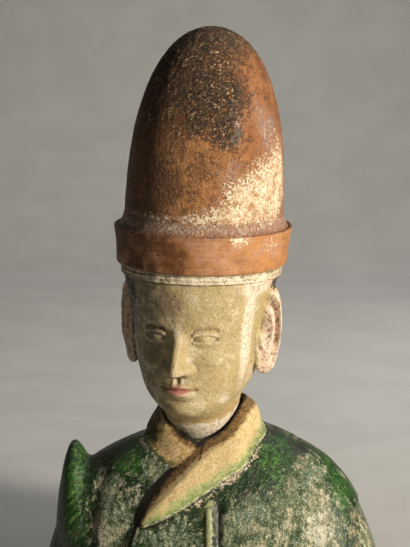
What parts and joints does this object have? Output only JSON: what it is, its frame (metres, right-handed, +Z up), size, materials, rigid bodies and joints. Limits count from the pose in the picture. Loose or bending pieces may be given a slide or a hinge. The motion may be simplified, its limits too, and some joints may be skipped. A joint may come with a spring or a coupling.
{
  "type": "glazed pottery attendant bust",
  "caption": "Bust of a robed tomb attendant in lead-glazed earthenware, with a tall domed hat, crossed collar and one upturned shoulder, cut flat below.",
  "frame": {"origin": "middle of the flat cut that the bust stands on", "axes": "+Z up, the figure faces -Y, its left hand side is +X"},
  "size_m": [0.172, 0.0982, 0.2743],
  "materials": {
    "green_glaze": "worn green and straw lead glaze over buff earthenware",
    "amber_glaze": "worn amber and straw lead glaze over pale slip"
  },
  "bodies": {
    "root": {"robe_bust": "green_glaze", "head_with_hat": "amber_glaze"}
  },
  "joints": []
}
